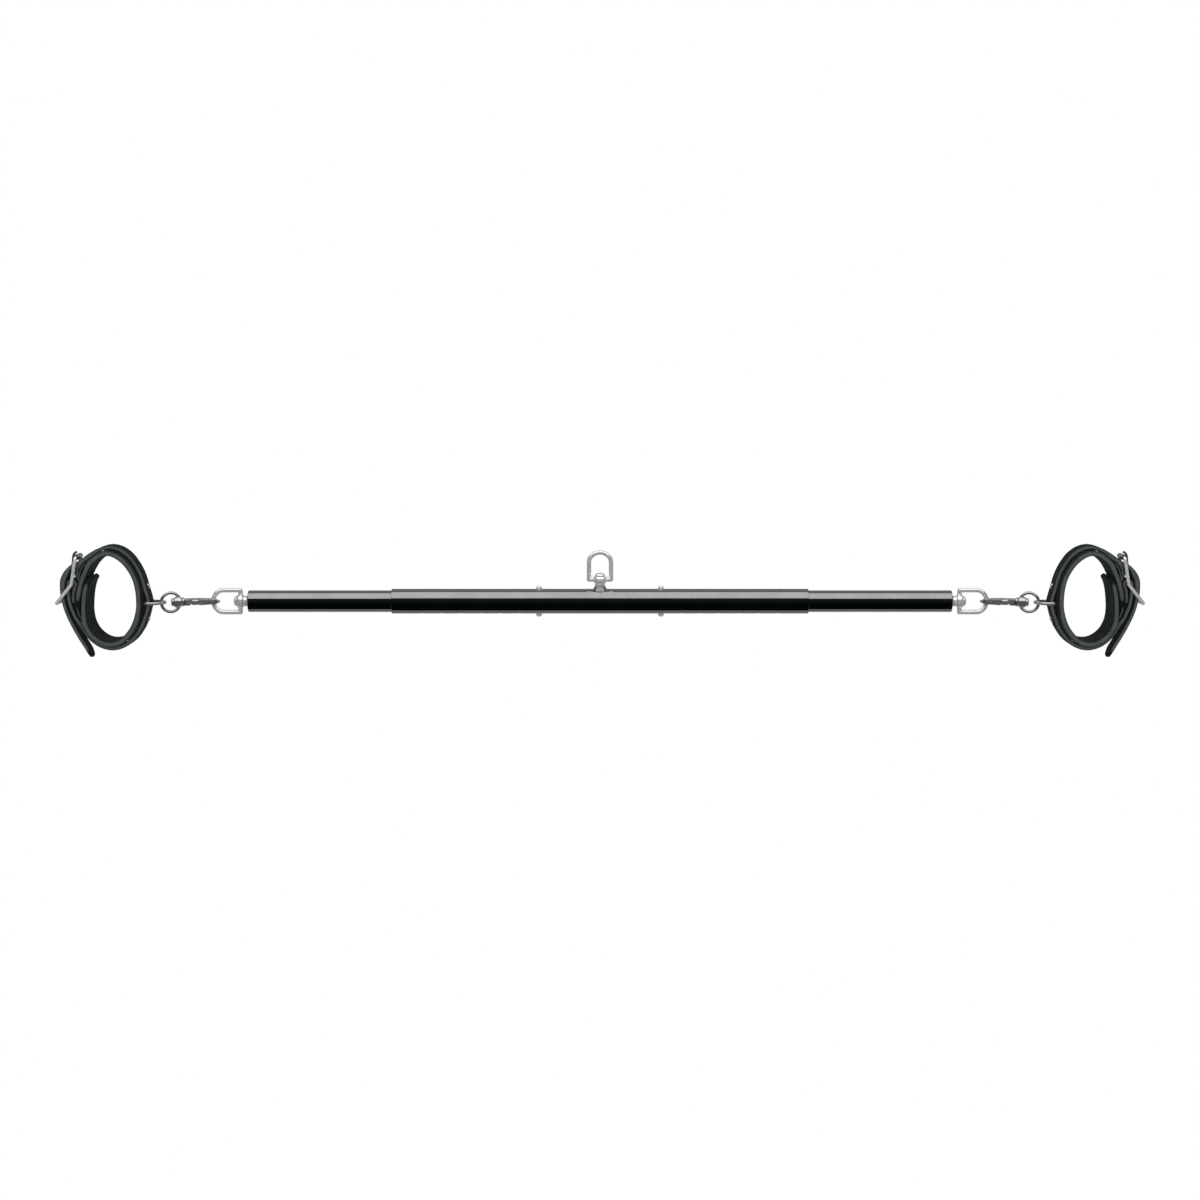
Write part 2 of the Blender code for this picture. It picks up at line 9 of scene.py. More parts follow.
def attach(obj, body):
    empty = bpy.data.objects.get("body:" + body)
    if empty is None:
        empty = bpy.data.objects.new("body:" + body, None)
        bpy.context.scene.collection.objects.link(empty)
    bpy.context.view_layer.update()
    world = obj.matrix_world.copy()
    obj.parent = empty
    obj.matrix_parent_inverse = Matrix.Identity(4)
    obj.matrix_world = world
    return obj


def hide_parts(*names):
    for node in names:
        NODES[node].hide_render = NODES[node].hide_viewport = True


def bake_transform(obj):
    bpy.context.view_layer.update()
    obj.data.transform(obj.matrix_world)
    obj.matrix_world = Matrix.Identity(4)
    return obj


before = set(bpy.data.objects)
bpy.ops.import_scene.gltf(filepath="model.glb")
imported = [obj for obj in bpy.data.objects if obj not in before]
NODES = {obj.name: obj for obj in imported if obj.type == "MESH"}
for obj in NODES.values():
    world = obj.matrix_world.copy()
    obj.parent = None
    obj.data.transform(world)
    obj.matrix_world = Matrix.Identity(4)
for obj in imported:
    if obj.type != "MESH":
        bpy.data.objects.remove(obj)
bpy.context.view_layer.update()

MM = 0.001

# ------------------------------------------------- the design's own sizes, in mm
OUTER_R, OUTER_BORE_R, OUTER_HALF = 12.7, 11.45, 213.5
AXIS_Z = OUTER_R * math.cos(math.pi / 32)
INNER_R, INNER_BORE_R, INNER_IN, INNER_OUT = 11.1, 9.9, 40.0, 360.6
BUTTON_X, HOLE_PITCH, HOLE_PAIRS, HOLE_R, BUTTON_R, BUTTON_TOP = 62.5, 20.0, 7, 3.45, 3.0, 15.9
EYE_WIRE, EYE_HALF, EYE_APEX, EYE_BASE = 2.3, 11.3, 30.4, 2.7
HUB_LEN, HUB_R, HUB_BORE_R = 6.0, 7.5, 3.35
STUD_SHANK_R, STUD_NECK_R, STUD_HEAD_R = 3.0, 5.35, 5.25
END_HUB_X, CENTRE_HUB_Y = 366.0, 19.6
HOOK_W0, HOOK_W1, HOOK_CLAW_C = 2.2, 2.95, 2.35
HOOK_IN_R, HOOK_OUT_R, HOOK_NECK_U = 5.0, 9.2, 32.2
GATE_PIN, GATE_PIN_R = (27.5, 6.4), 0.9
RING_C, RING_R, RING_WIRE, RIVET_R = 43.5, 9.7, 1.6, 2.0
D_WIRE, D_HALF, D_Z, D_BAR, D_ARC = 1.6, 14.6, 26.0, 462.6, 458.8
BAND_T, BAND_W, STRAP_T, STRAP_W = 5.0, 52.0, 3.6, 25.0
STRAP_Z0 = D_Z - STRAP_W / 2
ROLLER, MIDBAR, LOWBAR = (532.0, 47.0), (536.5, 19.5), (552.0, 0.2)
BUCKLE_WIRE, BUCKLE_HALF, ROLLER_R, PRONG_R, PRONG_LOOP = 1.7, 15.7, 2.9, 1.2, 3.3
EYE_X = END_HUB_X + EYE_APEX
CHAIN = RING_C + RING_R - RING_WIRE - D_WIRE - 0.35
SLOPE = math.asin((D_Z - AXIS_Z) / CHAIN)

BAND_LINE = [(514.0, 28.5), (518.6, 22.0), (521.3, 13.0), (522.7, 1.0),
             (522.9, -10.0), (521.0, -20.0), (517.0, -28.6), (511.4, -34.6),
             (504.8, -38.6), (497.8, -40.2), (489.8, -39.2), (483.6, -36.0),
             (478.4, -30.8), (473.6, -24.0), (469.8, -15.0), (467.6, -6.0),
             (467.1, 0.0), (467.2, 7.0), (468.2, 16.0), (470.8, 26.3),
             (475.6, 35.6), (482.0, 43.6), (489.5, 49.2), (496.4, 51.8),
             (503.2, 50.8), (509.8, 46.8), (516.6, 39.8), (521.8, 30.5),
             (525.4, 20.4), (527.4, 11.9), (528.7, 3.5), (529.6, -5.0)]
STRAP_IN = [(534.8, -0.5), (535.4, 4.0), (535.2, 9.0), (534.2, 14.0)]
STRAP_LOOP_R = 4.0
STRAP_OUT = [(540.7, 15.5), (540.3, 9.0), (539.6, 2.2), (537.3, -6.3),
             (533.6, -14.8), (528.5, -23.2), (522.5, -31.7), (515.8, -38.9),
             (507.0, -44.2), (496.2, -46.4), (485.3, -43.8), (475.1, -36.8),
             (467.2, -26.0), (463.0, -16.5), (460.4, -7.0), (458.9, 0.0),
             (460.2, 7.0), (462.8, 16.5), (465.4, 25.8), (469.8, 36.0),
             (477.4, 47.4), (486.6, 54.6), (497.0, 57.4), (507.4, 55.2),
             (517.4, 49.9), (526.0, 43.7), (531.8, 40.3), (537.8, 37.0),
             (543.8, 30.6), (547.1, 23.4), (547.5, 15.7), (546.7, 8.1),
             (544.6, -2.1), (541.2, -12.2), (535.2, -25.0), (528.5, -36.8),
             (522.5, -46.6), (518.0, -56.0)]
RIVETS = (("upper", (462.8, 16.5), (0.964, -0.267), 8.9),
          ("lower", (463.0, -16.5), (0.940, 0.342), 10.3))


# ------------------------------------------------------------------ materials
def node_material(name):
    mat = bpy.data.materials.new(name)
    mat.use_nodes = True
    nt = mat.node_tree
    shader = nt.nodes["Principled BSDF"]
    return mat, nt, shader


def ramp(nt, fac, stops):
    n = nt.nodes.new("ShaderNodeValToRGB")
    while len(n.color_ramp.elements) < len(stops):
        n.color_ramp.elements.new(0.5)
    for e, (pos, col) in zip(n.color_ramp.elements, stops):
        e.position = pos
        e.color = (*col, 1.0) if len(col) == 3 else col
    nt.links.new(fac, n.inputs["Fac"])
    return n.outputs["Color"]


def coords(nt, scale=(1, 1, 1)):
    tc = nt.nodes.new("ShaderNodeTexCoord")
    mp = nt.nodes.new("ShaderNodeMapping")
    mp.inputs["Scale"].default_value = scale
    nt.links.new(tc.outputs["Object"], mp.inputs["Vector"])
    return mp.outputs["Vector"]


def noise(nt, vec, scale, detail=3.0, rough=0.5):
    n = nt.nodes.new("ShaderNodeTexNoise")
    n.inputs["Scale"].default_value = scale
    n.inputs["Detail"].default_value = detail
    n.inputs["Roughness"].default_value = rough
    nt.links.new(vec, n.inputs["Vector"])
    return n.outputs["Fac"]


def bump(nt, height, strength, distance, normal=None):
    n = nt.nodes.new("ShaderNodeBump")
    n.inputs["Strength"].default_value = strength
    n.inputs["Distance"].default_value = distance
    nt.links.new(height, n.inputs["Height"])
    if normal:
        nt.links.new(normal, n.inputs["Normal"])
    return n.outputs["Normal"]


def metal(name, lo, hi, rough, stretch=(1, 1, 1), metallic=1.0, grain=500.0, dent=0.00002,
          strength=0.25):
    """Plated metal: cloudy tint, uneven polish and fine marks."""
    mat, nt, sh = node_material(name)
    vec = coords(nt)
    fine = coords(nt, stretch)
    cloud = noise(nt, vec, 45.0, 4.0)
    nt.links.new(ramp(nt, cloud, [(0.35, lo), (0.65, hi)]), sh.inputs["Base Color"])
    marks = noise(nt, fine, grain, 4.0, 0.6)
    nt.links.new(ramp(nt, marks, [(0.35, (rough[0],) * 3), (0.7, (rough[1],) * 3)]),
                 sh.inputs["Roughness"])
    nt.links.new(bump(nt, marks, strength, dent), sh.inputs["Normal"])
    sh.inputs["Metallic"].default_value = metallic
    return mat


def leather(name, dark, light, rough, half, fall, scale=950.0, depth=0.00012, crease=0.0002):
    """Soft black leather: pebbled grain, faint creases, and a painted highlight: the colour turns
    paler along the ridge of each rounded edge, standing in for light on the rim.
    """
    mat, nt, sh = node_material(name)
    vec = coords(nt)
    warp = nt.nodes.new("ShaderNodeTexNoise")
    warp.inputs["Scale"].default_value = 260.0
    nt.links.new(vec, warp.inputs["Vector"])
    mixv = nt.nodes.new("ShaderNodeMix")
    mixv.data_type = "VECTOR"
    mixv.inputs["Factor"].default_value = 0.0012
    nt.links.new(vec, mixv.inputs[4])
    nt.links.new(warp.outputs["Color"], mixv.inputs[5])
    cells = nt.nodes.new("ShaderNodeTexVoronoi")
    cells.feature = "DISTANCE_TO_EDGE"
    cells.inputs["Scale"].default_value = scale
    nt.links.new(mixv.outputs[1], cells.inputs["Vector"])
    pebble = ramp(nt, cells.outputs["Distance"], [(0.0, (0.0,) * 3), (0.16, (0.8,) * 3),
                                                  (0.5, (1.0,) * 3)])
    broad = noise(nt, vec, 70.0, 5.0, 0.6)
    first = bump(nt, broad, 0.35, crease)
    nt.links.new(bump(nt, pebble, 0.35, depth, first), sh.inputs["Normal"])
    tone = noise(nt, vec, 120.0, 5.0, 0.6)
    deep = ramp(nt, tone, [(0.3, dark[0]), (0.72, dark[1])])
    # painted highlight: the paler tones laid along the ridge of each rounded edge
    painted_highlight = ramp(nt, tone, [(0.3, light[0]), (0.72, light[1])])
    parts = nt.nodes.new("ShaderNodeSeparateXYZ")
    nt.links.new(vec, parts.inputs["Vector"])
    away = nt.nodes.new("ShaderNodeMath")
    away.operation = "SUBTRACT"
    away.inputs[1].default_value = D_Z * MM
    nt.links.new(parts.outputs["Z"], away.inputs[0])
    size = nt.nodes.new("ShaderNodeMath")
    size.operation = "ABSOLUTE"
    nt.links.new(away.outputs[0], size.inputs[0])
    # mask of the painted highlight: rises from the flat faces to the ridge of the edge over the last
    # 'fall' mm of the half width
    highlight_mask = nt.nodes.new("ShaderNodeMapRange")
    highlight_mask.interpolation_type = "SMOOTHSTEP"
    for socket, value in (("From Min", (half - fall) * MM), ("From Max", half * MM),
                          ("To Min", 0.0), ("To Max", 1.0)):
        highlight_mask.inputs[socket].default_value = value
    nt.links.new(size.outputs[0], highlight_mask.inputs["Value"])
    tint = nt.nodes.new("ShaderNodeMix")
    tint.data_type = "RGBA"
    nt.links.new(highlight_mask.outputs["Result"], tint.inputs["Factor"])
    nt.links.new(deep, tint.inputs[6])
    nt.links.new(painted_highlight, tint.inputs[7])
    nt.links.new(tint.outputs[2], sh.inputs["Base Color"])
    nt.links.new(ramp(nt, broad, [(0.3, (rough[0],) * 3), (0.7, (rough[1],) * 3)]),
                 sh.inputs["Roughness"])
    sh.inputs["Specular IOR Level"].default_value = 0.06
    sh.inputs["Sheen Weight"].default_value = 0.02
    sh.inputs["Sheen Roughness"].default_value = 0.4
    sh.inputs["Sheen Tint"].default_value = (0.8, 0.9, 0.9, 1.0)
    return mat


TUBE = metal("tube_polished_dark", (0.305, 0.300, 0.296), (0.335, 0.330, 0.326), (0.05, 0.12),
             stretch=(0.15, 1, 1), grain=420.0, strength=0.12)
BRIGHT = metal("bright_nickel", (0.82, 0.82, 0.815), (0.92, 0.92, 0.92), (0.11, 0.20),
               metallic=0.74, grain=260.0, strength=0.06)
DARK = metal("dark_nickel", (0.58, 0.555, 0.54), (0.72, 0.695, 0.68), (0.10, 0.18),
             metallic=0.91, grain=260.0, strength=0.05)
# A darker copy of the nickel: painted shade for the centre saddle, the buckle rollers and the prongs.
PAINTED_SHADE_NICKEL = metal("painted_shade_nickel", (0.20, 0.19, 0.18), (0.32, 0.305, 0.295), (0.16, 0.28),
              metallic=0.96, grain=260.0, strength=0.08)
# A paler, less metallic copy of the dark nickel: painted highlight, so the buckle frame reads bright.
PAINTED_HIGHLIGHT_NICKEL = metal("buckle_painted_highlight_nickel", (0.84, 0.82, 0.81), (0.94, 0.92, 0.91), (0.10, 0.18),
               metallic=0.66, grain=260.0, strength=0.05)
STEEL = metal("spring_steel", (0.33, 0.33, 0.35), (0.42, 0.42, 0.44), (0.25, 0.4),
              stretch=(1, 0.2, 1), grain=600.0)
PLASTIC = metal("plug_plastic", (0.012, 0.012, 0.013), (0.02, 0.02, 0.021), (0.4, 0.6),
                metallic=0.0, grain=800.0, dent=0.00005)
# The first pair of tones is the leather's own colour; the second, paler pair is the painted highlight
# on the ridges of the edges.
LEATHER = leather("cuff_leather", ((0.0045, 0.0065, 0.0065), (0.009, 0.012, 0.012)),
                  ((0.038, 0.045, 0.045), (0.058, 0.065, 0.065)), (0.66, 0.80), 25.9, 2.0)
STRAP_LEATHER = leather("strap_leather", ((0.0045, 0.0065, 0.0065), (0.010, 0.013, 0.013)),
                        ((0.042, 0.049, 0.049), (0.062, 0.069, 0.069)), (0.64, 0.78), 12.35, 1.6,
                        scale=1050.0, crease=0.00012)


# ------------------------------------------------------------------ shapes
def axis_basis(axis):
    a = Vector(axis).normalized()
    b = Vector((0.0, 0.0, 1.0)) if abs(a.z) < 0.9 else Vector((0.0, 1.0, 0.0))
    b = (b - a * b.dot(a)).normalized()
    return a, b, a.cross(b)


def arc(cx, cy, rx, ry, a0, a1, steps):
    out = []
    for k in range(steps + 1):
        w = math.radians(a0 + (a1 - a0) * k / steps)
        out.append((cx + rx * math.cos(w), cy + ry * math.sin(w)))
    return out


def lathe(profile, centre, axis, sides, hollow=False, turn=0.5):
    a, b, c = axis_basis(axis)
    o = Vector(centre)
    bm = bmesh.new()
    rings = []
    for t, r in profile:
        if r <= 1e-9:
            rings.append([bm.verts.new((o + a * t) * MM)])
            continue
        rings.append([bm.verts.new((o + a * t + (b * math.cos(w) + c * math.sin(w)) * r) * MM)
                      for w in (2 * math.pi * (k + turn) / sides for k in range(sides))])
    pairs = list(zip(rings, rings[1:]))
    if hollow:
        pairs.append((rings[-1], rings[0]))
    for lo, hi in pairs:
        if len(lo) == 1 and len(hi) == 1:
            continue
        for k in range(sides):
            n = (k + 1) % sides
            if len(lo) == 1:
                bm.faces.new((lo[0], hi[n], hi[k]))
            elif len(hi) == 1:
                bm.faces.new((lo[k], lo[n], hi[0]))
            else:
                bm.faces.new((lo[k], lo[n], hi[n], hi[k]))
    return bm


def rod(centre, axis, t0, t1, r, sides):
    return lathe([(t0, 0), (t0, r), (t1, r), (t1, 0)], centre, axis, sides)


def circle(r, sides):
    return [(r * math.cos(2 * math.pi * (k + 0.5) / sides),
             r * math.sin(2 * math.pi * (k + 0.5) / sides)) for k in range(sides)]


def sweep(points, section, closed, scales=None):
    pts = [Vector(p) for p in points]
    n = len(pts)
    tang = []
    for i in range(n):
        d = Vector((0, 0, 0))
        if closed or i + 1 < n:
            d += (pts[(i + 1) % n] - pts[i]).normalized()
        if closed or i > 0:
            d += (pts[i] - pts[i - 1]).normalized()
        tang.append(d.normalized())
    first = axis_basis(tang[0])[1]
    normals = [first]
    for i in range(1, n):
        normals.append((normals[-1] - tang[i] * normals[-1].dot(tang[i])).normalized())
    twist = 0.0
    if closed:
        v = (normals[-1] - tang[0] * normals[-1].dot(tang[0])).normalized()
        twist = math.atan2(tang[0].dot(v.cross(first)), v.dot(first))
    bm = bmesh.new()
    rings = []
    for i in range(n):
        m = Matrix.Rotation(twist * i / n, 3, tang[i]) @ normals[i]
        b = tang[i].cross(m)
        f = scales[i] if scales else 1.0
        rings.append([bm.verts.new((pts[i] + (m * p + b * q) * f) * MM) for p, q in section])
    k = len(section)
    for i in range(n if closed else n - 1):
        lo, hi = rings[i], rings[(i + 1) % n]
        for j in range(k):
            e = (j + 1) % k
            bm.faces.new((lo[j], lo[e], hi[e], hi[j]))
    if not closed:
        bm.faces.new(list(reversed(rings[0])))
        bm.faces.new(rings[-1])
    return bm


def dome_ends(points, r, steps=5):
    """Adds the points and scales that round both ends of an open sweep."""
    pts = [Vector(p) for p in points]
    t0 = (pts[0] - pts[1]).normalized()
    t1 = (pts[-1] - pts[-2]).normalized()
    head, tail, hs, ts = [], [], [], []
    for k in range(steps, 0, -1):
        w = math.pi / 2 * k / (steps + 0.35)
        head.append(pts[0] + t0 * r * math.sin(w))
        hs.append(math.cos(w))
    for k in range(1, steps + 1):
        w = math.pi / 2 * k / (steps + 0.35)
        tail.append(pts[-1] + t1 * r * math.sin(w))
        ts.append(math.cos(w))
    return head + pts + tail, hs + [1.0] * len(pts) + ts


def smooth_line(points, step):
    pts = [Vector((p[0], p[1])) for p in points]
    pts = [2 * pts[0] - pts[1]] + pts + [2 * pts[-1] - pts[-2]]
    fine = []
    for i in range(1, len(pts) - 2):
        p0, p1, p2, p3 = pts[i - 1:i + 3]
        for k in range(12):
            t = k / 12
            fine.append(0.5 * ((2 * p1) + (p2 - p0) * t + (2 * p0 - 5 * p1 + 4 * p2 - p3) * t * t
                               + (3 * p1 - p0 - 3 * p2 + p3) * t ** 3))
    fine.append(pts[-2])
    return even(fine, step)


def even(fine, step):
    run = [0.0]
    for p, q in zip(fine, fine[1:]):
        run.append(run[-1] + (q - p).length)
    count = max(2, round(run[-1] / step))
    out, j = [], 0
    for k in range(count + 1):
        want = run[-1] * k / count
        while j < len(run) - 2 and run[j + 1] < want:
            j += 1
        f = (want - run[j]) / max(run[j + 1] - run[j], 1e-9)
        out.append(fine[j].lerp(fine[j + 1], min(1.0, max(0.0, f))))
    return out


def relax(line, rounds):
    """Evens out the bends of a line without moving its ends."""
    pts = [p.copy() for p in line]
    for _ in range(rounds):
        pts = [pts[0]] + [(pts[i - 1] + pts[i] * 2 + pts[i + 1]) / 4 for i in range(1, len(pts) - 1)] \
            + [pts[-1]]
    return pts


def tangents(line):
    n = len(line)
    return [(line[min(n - 1, i + 1)] - line[max(0, i - 1)]).normalized() for i in range(n)]


def lengths(line):
    run = [0.0]
    for p, q in zip(line, line[1:]):
        run.append(run[-1] + (q - p).length)
    return run


def soft_strip(line, thick, zc, width, side, end_r, edge_seg=6, flat_seg=12, crown=0.0,
               ripple=0.0, grow=None):
    """A leather strip on edge: full round edges, rounded ends, a faint crown and ripple.

    grow(i) gives how much further than half the thickness it reaches on its two sides.
    """
    run = lengths(line)
    total = run[-1]
    tan = tangents(line)
    bm = bmesh.new()
    rings = []
    r0, r1 = end_r
    for i, p in enumerate(line):
        e0, e1 = run[i], total - run[i]
        hw = width / 2
        for e, r in ((e0, r0), (e1, r1)):
            if e < r:
                hw = min(hw, width / 2 - r + math.sqrt(max(0.0, r * r - (r - e) ** 2)) + 0.02)
        more, less = grow[i] if grow else (0.0, 0.0)
        full = thick + more + less
        shift = (more - less) / 2
        ht = full / 2
        cap = full / 2
        for e in (e0, e1):
            if e < cap:
                ht = min(ht, cap * math.sqrt(max(0.0, 1 - (1 - e / cap) ** 2)) + 0.03)
        nor = Vector((-tan[i].y, tan[i].x))
        rr = min(ht, hw)
        half = hw - rr
        sec = []
        for k in range(edge_seg + 1):
            w = math.pi * k / edge_seg
            sec.append((-ht * math.cos(w), -half - rr * math.sin(w)))
        for k in range(1, flat_seg):
            sec.append((ht, -half + 2 * half * k / flat_seg))
        for k in range(edge_seg + 1):
            w = math.pi * k / edge_seg
            sec.append((ht * math.cos(w), half + rr * math.sin(w)))
        for k in range(1, flat_seg):
            sec.append((-ht, half - 2 * half * k / flat_seg))
        ring = []
        for o, z in sec:
            q = z / max(half, 1e-6)
            flat = abs(o) >= ht - 1e-6 and abs(z) < half
            o2 = o
            if flat:
                o2 -= math.copysign(crown * (1 - q * q), o)
                wave = math.sin(run[i] * 0.31 + z * 0.13) * math.sin(z * 0.24 + 1.3 + run[i] * 0.07)
                o2 -= math.copysign(ripple * 0.5 * (1 + wave) * (1 - q * q), o)
            o2 += shift
            ring.append(bm.verts.new(Vector((side * (p.x + nor.x * o2), p.y + nor.y * o2,
                                             zc + z)) * MM))
        rings.append(ring)
    k = len(rings[0])
    for lo, hi in zip(rings, rings[1:]):
        for j in range(k):
            e = (j + 1) % k
            bm.faces.new((lo[j], lo[e], hi[e], hi[j]))
    bm.faces.new(list(reversed(rings[0])))
    bm.faces.new(rings[-1])
    return bm


def snug(line, other, reach, most):
    """How far each point's two sides can swell to meet half way to another line's surface."""
    tan = tangents(line)
    out = []
    for p, t in zip(line, tan):
        n = Vector((-t.y, t.x))
        sides = [0.0, 0.0]
        for k, sign in ((0, 1), (1, -1)):
            best = None
            for q in other:
                d = q - p
                along = abs(d.dot(t))
                away = d.dot(n) * sign
                if along < 1.5 and away > 0 and (best is None or away < best):
                    best = away
            if best is not None:
                gap = best - reach
                sides[k] = max(0.0, min(most, gap / 2 - 0.04)) if gap < 6.0 else 0.0
        if p.x < 471.5 and abs(p.y) < 12.0:
            sides = [0.0, 0.0]
        if p.x > 526.0 and p.y > -8.0:
            sides = [0.0, 0.0]
        if p.x > 541.5 and 12.0 < p.y < 33.0:
            sides = [2.9, 0.0] if n.x < 0 else [0.0, 2.9]
        out.append(sides)
    for _ in range(6):
        out = [[(out[max(0, i - 1)][k] + 2 * out[i][k] + out[min(len(out) - 1, i + 1)][k]) / 4
                for k in (0, 1)] for i in range(len(out))]
    return out


def plate(outline, half, side):
    bm = bmesh.new()
    near = [bm.verts.new(Vector((side * u, -half(u), v)) * MM) for u, v in outline]
    far = [bm.verts.new(Vector((side * u, half(u), v)) * MM) for u, v in outline]
    bm.faces.new(near)
    bm.faces.new(list(reversed(far)))
    n = len(outline)
    for k in range(n):
        e = (k + 1) % n
        bm.faces.new((near[k], far[k], far[e], near[e]))
    return bm


def box(x0, x1, y0, y1, z0, z1):
    bm = bmesh.new()
    bmesh.ops.create_cube(bm, size=1.0)
    for v in bm.verts:
        v.co = Vector(((x0 + x1) / 2 + v.co.x * (x1 - x0),
                       (y0 + y1) / 2 + v.co.y * (y1 - y0),
                       (z0 + z1) / 2 + v.co.z * (z1 - z0))) * MM
    return bm


def merge(parts):
    out = bmesh.new()
    for bm in parts:
        me = bpy.data.meshes.new("tmp")
        bm.to_mesh(me)
        bm.free()
        out.from_mesh(me)
        bpy.data.meshes.remove(me)
    return out


def raw(name, bm):
    bmesh.ops.remove_doubles(bm, verts=bm.verts, dist=1e-7)
    bmesh.ops.recalc_face_normals(bm, faces=bm.faces)
    me = bpy.data.meshes.new(name)
    bm.to_mesh(me)
    bm.free()
    ob = bpy.data.objects.new(name, me)
    bpy.context.scene.collection.objects.link(ob)
    return ob


def bake_modifiers(ob):
    bpy.context.view_layer.update()
    deps = bpy.context.evaluated_depsgraph_get()
    me = bpy.data.meshes.new_from_object(ob.evaluated_get(deps))
    old = ob.data
    ob.modifiers.clear()
    ob.data = me
    me.name = ob.name
    bpy.data.meshes.remove(old)


def boolean(ob, bm, operation):
    other = raw("cutter", bm)
    mod = ob.modifiers.new("boolean", "BOOLEAN")
    mod.operation = operation
    mod.object = other
    mod.solver = "EXACT"
    bake_modifiers(ob)
    me = other.data
    bpy.data.objects.remove(other)
    bpy.data.meshes.remove(me)


def bevel(ob, width, segments, angle=30):
    mod = ob.modifiers.new("bevel", "BEVEL")
    mod.width = width * MM
    mod.segments = segments
    mod.limit_method = "ANGLE"
    mod.angle_limit = math.radians(angle)
    mod.use_clamp_overlap = True
    mod.harden_normals = False
    bake_modifiers(ob)


def finish(ob, body, slot, mat, *replaced, angle=40):
    ob.data.shade_smooth()
    ob.data.set_sharp_from_angle(angle=math.radians(angle))
    ob.data.materials.clear()
    ob.data.materials.append(mat)
    if replaced:
        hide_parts(*replaced)
    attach(ob, body)
    return ob


def tilt(bm, side):
    """From the hook's own frame to the row's."""
    m = Matrix.Translation(Vector((side * EYE_X, 0, AXIS_Z)) * MM) @ Matrix.Rotation(
        -side * SLOPE, 4, "Y")
    bmesh.ops.transform(bm, matrix=m, verts=bm.verts)
    return bm


# ------------------------------------------------------------------ bar
def tube(name, x0, x1, r_in, r_out, side, holes, body, node, edge):
    """A polished tube with rounded lips and drilled button holes."""
    marks = sorted(set([x0 + edge, x1 - edge] + [h + d for h in holes for d in (-5.2, 5.2)]))
    prof = [(x0, r_in), (x0, r_out - edge)]
    prof += [(x0 + edge * (1 - math.cos(w)), r_out - edge + edge * math.sin(w))
             for w in (math.pi / 2 * k / 4 for k in range(1, 4))]
    prof += [(x, r_out) for x in marks]
    prof += [(x1 - edge * (1 - math.sin(w)), r_out - edge + edge * math.cos(w))
             for w in (math.pi / 2 * k / 4 for k in range(1, 4))]
    prof += [(x1, r_out - edge), (x1, r_in)]
    prof += [(x, r_in) for x in reversed(marks)]
    ob = raw(name, lathe(prof, (0, 0, AXIS_Z), (side, 0, 0), 96, hollow=True))
    boolean(ob, merge([rod((side * h, 0, AXIS_Z), (0, 1, 0), -20, 20, HOLE_R, 28)
                       for h in holes]), "DIFFERENCE")
    return finish(ob, body, "tube", TUBE, node, angle=50)


def eye(name, place, direction, across, body, node):
    """A D-shaped eye of round wire with a turned hub in its flat base."""
    o, d, x = Vector(place), Vector(direction), Vector(across)
    top = 20.2
    pts = [(EYE_BASE + (top - EYE_BASE) * k / 8, EYE_HALF) for k in range(8)]
    pts += arc(top, 0.0, EYE_APEX - top, EYE_HALF, 90, -90, 56)
    pts += [(top - (top - EYE_BASE) * k / 8, -EYE_HALF) for k in range(1, 9)]
    ob = raw(name, sweep([o + d * t + x * w for t, w in pts], circle(EYE_WIRE, 24), False))
    base = o + d * EYE_BASE
    boolean(ob, rod(base, x, -EYE_HALF, EYE_HALF, EYE_WIRE, 24), "UNION")
    for sign in (1, -1):
        bm = bmesh.new()
        bmesh.ops.create_uvsphere(bm, u_segments=24, v_segments=16, radius=EYE_WIRE * 1.004 * MM)
        bmesh.ops.translate(bm, vec=(base + x * (sign * EYE_HALF)) * MM, verts=bm.verts)
        boolean(ob, bm, "UNION")
    hub = [(0, 0), (0, HUB_R - 0.9)]
    hub += [(0.9 - 0.9 * math.sin(w), HUB_R - 0.9 + 0.9 * math.cos(w)) for w in
            (math.pi / 2 * (1 - k / 4) for k in range(1, 5))]
    hub += [(2.4, HUB_R), (3.6, 7.25), (4.8, 6.8), (5.6, 6.4), (HUB_LEN - 0.1, 6.0), (HUB_LEN, 5.7),
            (HUB_LEN, 0)]
    boolean(ob, lathe(hub, o, d, 44), "UNION")
    bevel(ob, 0.4, 3, 30)
    boolean(ob, rod(o, d, -4, 12, HUB_BORE_R, 32), "DIFFERENCE")
    return finish(ob, body, "bright_metal", BRIGHT, node)


def stud(name, place, direction, spigot, body, node):
    neck0 = -5.4 if spigot else -4.0
    prof = [(-16, 0), (-16, STUD_SHANK_R), (neck0, STUD_SHANK_R)] if spigot else [(neck0, 0)]
    prof += [(neck0, STUD_NECK_R - 0.3), (neck0 + 0.3, STUD_NECK_R), (-0.8, STUD_NECK_R),
             (-0.4, STUD_NECK_R - 0.2), (-0.3, STUD_NECK_R - 0.5), (-0.3, STUD_SHANK_R),
             (HUB_LEN + 0.3, STUD_SHANK_R), (HUB_LEN + 0.3, STUD_HEAD_R - 0.3)]
    prof += [(HUB_LEN + 0.55 + 3.0 * math.sin(w), STUD_HEAD_R * math.cos(w) ** 0.85)
             for w in (math.pi / 2 * k / 12 for k in range(12))]
    prof += [(HUB_LEN + 3.56, 0)]
    ob = raw(name, lathe(prof, place, direction, 48))
    return finish(ob, body, "bright_metal", BRIGHT, node, angle=45)


holes = [BUTTON_X + HOLE_PITCH * k for k in range(HOLE_PAIRS)]
tube("outer_tube_fine", -OUTER_HALF, OUTER_HALF, OUTER_BORE_R, OUTER_R, 1,
     [-h for h in holes] + holes, "bar", "outer_tube", 0.5)

